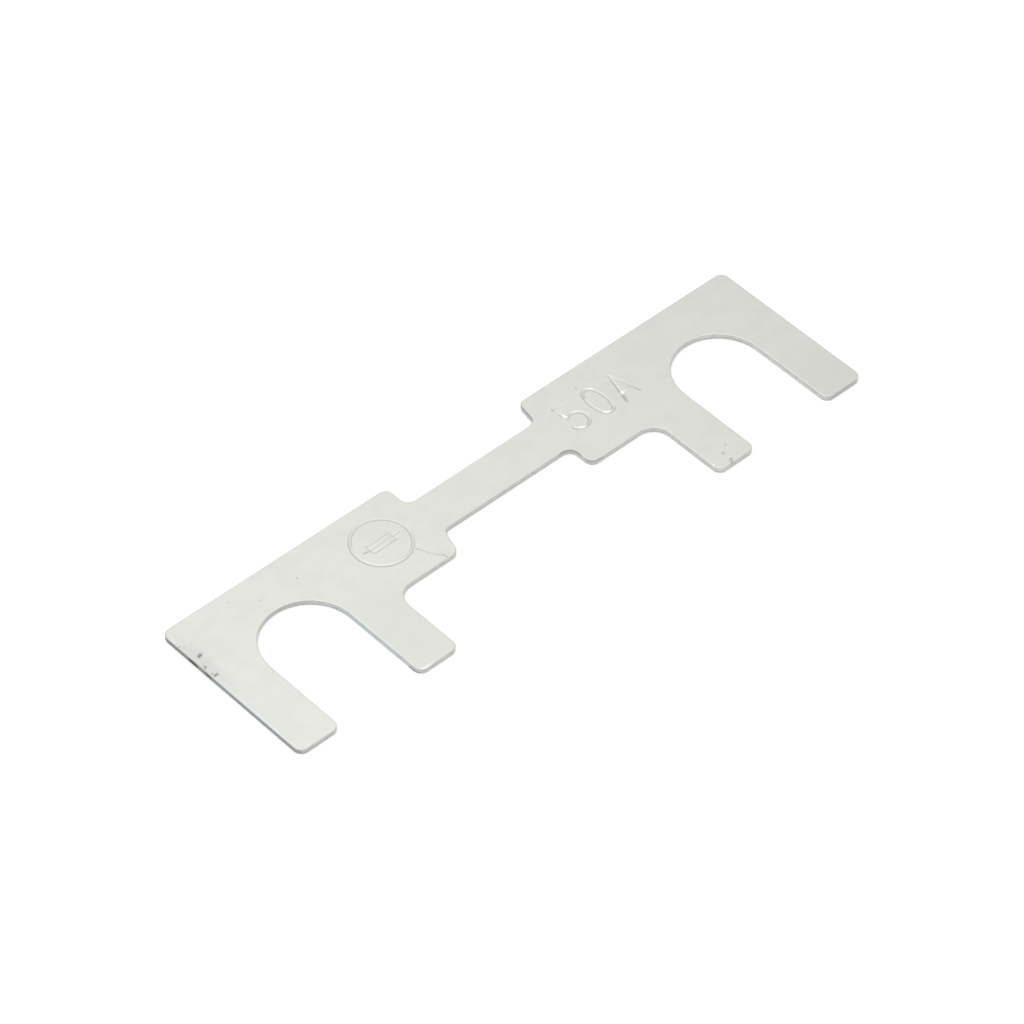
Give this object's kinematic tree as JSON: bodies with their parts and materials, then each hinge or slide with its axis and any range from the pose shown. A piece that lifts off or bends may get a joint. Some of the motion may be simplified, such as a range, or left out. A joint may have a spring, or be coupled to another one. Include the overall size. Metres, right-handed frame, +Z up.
{
  "type": "bolt down strip fuse",
  "caption": "Flat stamped zinc strip fuse with an open fork at each end for a terminal bolt and a narrow melting link between them.",
  "frame": {"origin": "middle of the strip's box, on the underside that it rests on", "axes": "+X along the strip from the left fork to the right fork, -Y the way the prongs point, +Z up out of the rolled and marked face"},
  "size_m": [0.041, 0.011, 0.0003],
  "materials": {
    "zinc_sheet": "satin bright zinc sheet with fine handling scratches, rolled upper edge and sheared walls"
  },
  "bodies": {
    "root": {"fuse_strip": "zinc_sheet"}
  },
  "joints": []
}
